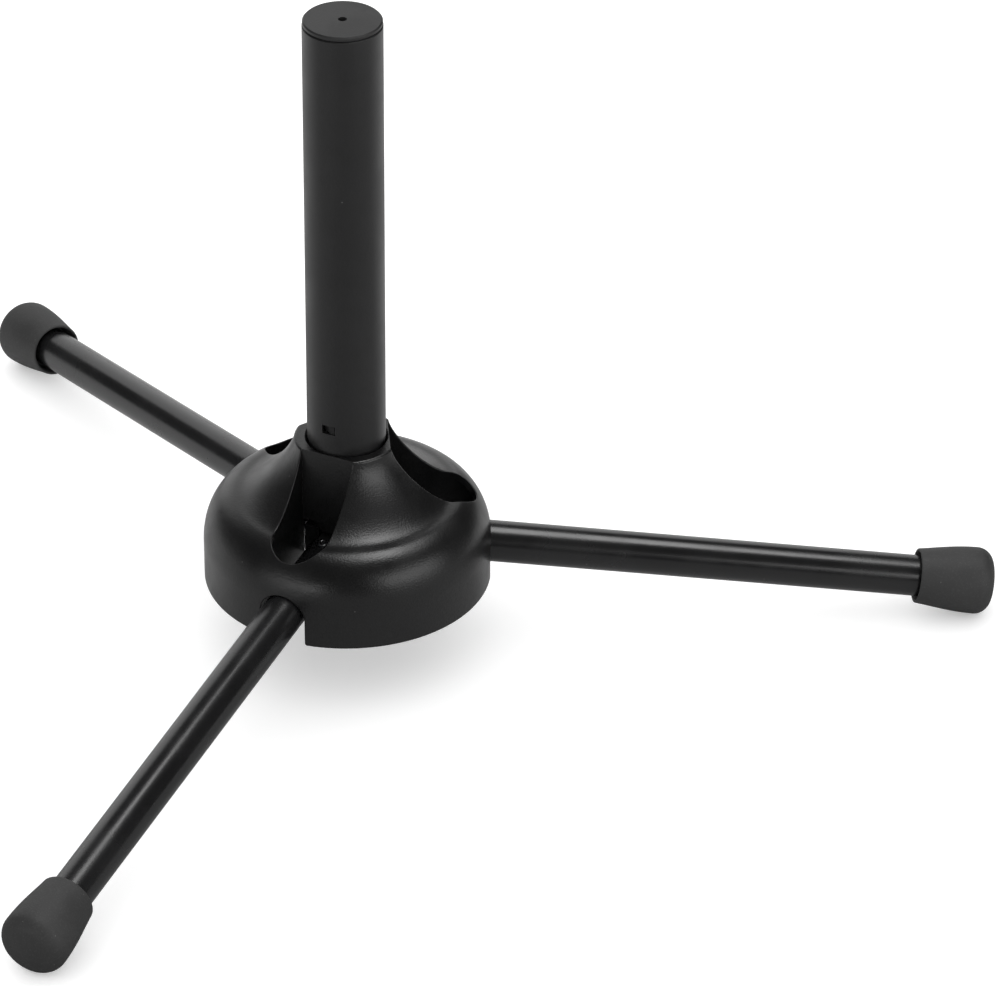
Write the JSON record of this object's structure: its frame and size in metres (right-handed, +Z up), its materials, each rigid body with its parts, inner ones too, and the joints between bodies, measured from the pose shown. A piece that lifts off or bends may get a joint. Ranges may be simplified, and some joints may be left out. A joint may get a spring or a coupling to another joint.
{
  "type": "tabletop stand",
  "caption": "Tabletop stand: a plain upright column in a round moulded base with slots over folding tube legs that end in rubber feet.",
  "frame": {"origin": "on the column's axis, in the plane that the feet stand on", "axes": "+Z up along the column; +X along the right leg's azimuth"},
  "size_m": [0.2892, 0.3316, 0.2003],
  "materials": {
    "column_black": "matt fine-grained black powder coat",
    "cap_black": "matt moulded plastic",
    "cover_black": "satin fine-grained moulded plastic",
    "hub_black": "plain moulded plastic",
    "leg_black": "semi-gloss black enamel",
    "foot_rubber": "textured dark grey rubber",
    "bright_steel": "plated steel",
    "knuckle_black": "black glass-filled nylon"
  },
  "bodies": {
    "stand": {"base_cover": "cover_black", "leg_hub": "hub_black", "hub_screws": "bright_steel", "column_tube": "column_black", "column_cap": "cap_black", "hinge_pin_front": "bright_steel", "hinge_pin_right": "bright_steel", "hinge_pin_rear": "bright_steel", "hinge_washers_front": "bright_steel", "hinge_washers_right": "bright_steel", "hinge_washers_rear": "bright_steel"},
    "leg_right": {"leg_tube_right": "leg_black", "leg_knuckle_right": "knuckle_black", "leg_rivet_right": "bright_steel", "leg_foot_right": "foot_rubber"},
    "leg_rear": {"leg_tube_rear": "leg_black", "leg_knuckle_rear": "knuckle_black", "leg_rivet_rear": "bright_steel", "leg_foot_rear": "foot_rubber"},
    "leg_front": {"leg_tube_front": "leg_black", "leg_knuckle_front": "knuckle_black", "leg_rivet_front": "bright_steel", "leg_foot_front": "foot_rubber"},
    "latch": {"latch_tongue": "bright_steel"}
  },
  "joints": [
    {"name": "fold_right", "type": "hinge", "parent": "stand", "child": "leg_right", "pos_m": [0.0095, 0, 0.03379], "axis": [0, 1, 0], "range_deg": [0, 80]},
    {"name": "fold_rear", "type": "hinge", "parent": "stand", "child": "leg_rear", "pos_m": [-0.00475, 0.00823, 0.03379], "axis": [-0.866, -0.5, 0], "range_deg": [0, 80]},
    {"name": "fold_front", "type": "hinge", "parent": "stand", "child": "leg_front", "pos_m": [-0.00475, -0.00823, 0.03379], "axis": [0.866, -0.5, 0], "range_deg": [0, 80]},
    {"name": "latch_press", "type": "hinge", "parent": "stand", "child": "latch", "pos_m": [-0.0043, -0.00745, 0.05709], "axis": [-0.866, 0.5, 0], "range_deg": [0, 6], "stiffness_Nm_per_rad": 0.05}
  ]
}
